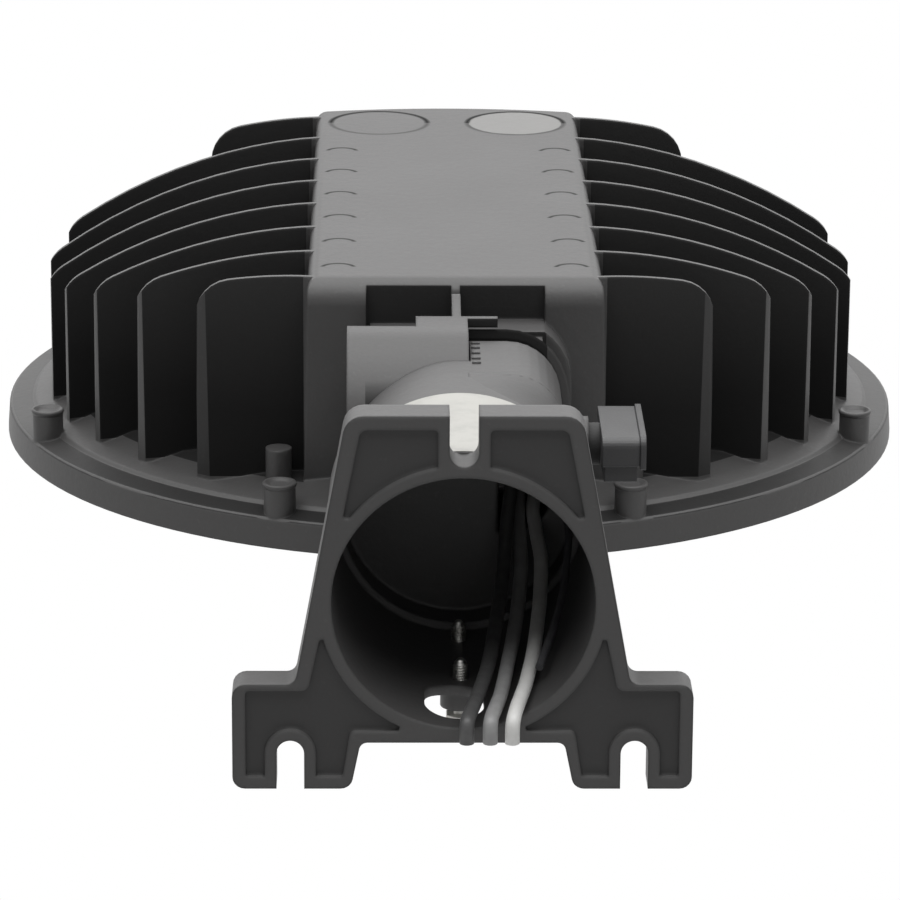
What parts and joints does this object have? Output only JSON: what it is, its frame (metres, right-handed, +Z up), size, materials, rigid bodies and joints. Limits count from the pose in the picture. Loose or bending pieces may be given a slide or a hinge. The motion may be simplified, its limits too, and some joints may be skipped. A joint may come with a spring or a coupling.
{
  "type": "street light",
  "caption": "Round finned street light head with a driver box, on a tilting knuckle and a slip-fit arm with a slotted foot plate.",
  "frame": {"origin": "centre of the arm's bore at the foot plate's rear face, where the pole or wall holds the light", "axes": "+Y along the arm out to the head, +Z up, +X to the right seen from the plate"},
  "size_m": [0.254, 0.3754, 0.0943],
  "materials": {
    "coated_casting": "textured dark powder coat",
    "driver_case": "satin",
    "zinc_steel": "zinc plated",
    "white_board": "white solder mask",
    "chip": "satin",
    "black_rubber": "matte",
    "clear_lens": "clear, finely ribbed",
    "pale_label": "matte film",
    "white_lead": "satin insulation",
    "grey_lead": "satin insulation",
    "black_lead": "satin insulation",
    "dark_plastic": "matte"
  },
  "bodies": {
    "arm_body": {"arm": "coated_casting", "hinge_bolt": "zinc_steel", "hinge_washer": "zinc_steel", "hinge_nut": "zinc_steel", "arm_label": "pale_label", "lead_white": "white_lead", "lead_grey": "grey_lead", "lead_black": "black_lead", "sensor_collar": "black_rubber", "sensor_body": "dark_plastic", "sensor_lip_plate": "dark_plastic", "sensor_block": "dark_plastic", "sensor_lead_a": "grey_lead", "sensor_lead_b": "grey_lead"},
    "head": {"housing": "coated_casting", "driver": "driver_case", "driver_screws": "zinc_steel", "led_board": "white_board", "leds": "chip", "board_screws": "zinc_steel", "lens_gasket": "black_rubber", "lens": "clear_lens", "lens_ring": "coated_casting", "ring_screws": "zinc_steel"},
    "near_screw": {"clamp_screw_near": "zinc_steel"},
    "far_screw": {"clamp_screw_far": "zinc_steel"}
  },
  "joints": [
    {"name": "head_tilt", "type": "hinge", "parent": "arm_body", "child": "head", "pos_m": [0, 0.109, 0.0107], "axis": [1, 0, 0], "range_deg": [0, 45]},
    {"name": "near_screw_slide", "type": "slide", "parent": "arm_body", "child": "near_screw", "axis": [0, 0, 1], "range_m": [-0.0075, 0]},
    {"name": "far_screw_slide", "type": "slide", "parent": "arm_body", "child": "far_screw", "axis": [0, 0, 1], "range_m": [-0.0075, 0]}
  ]
}
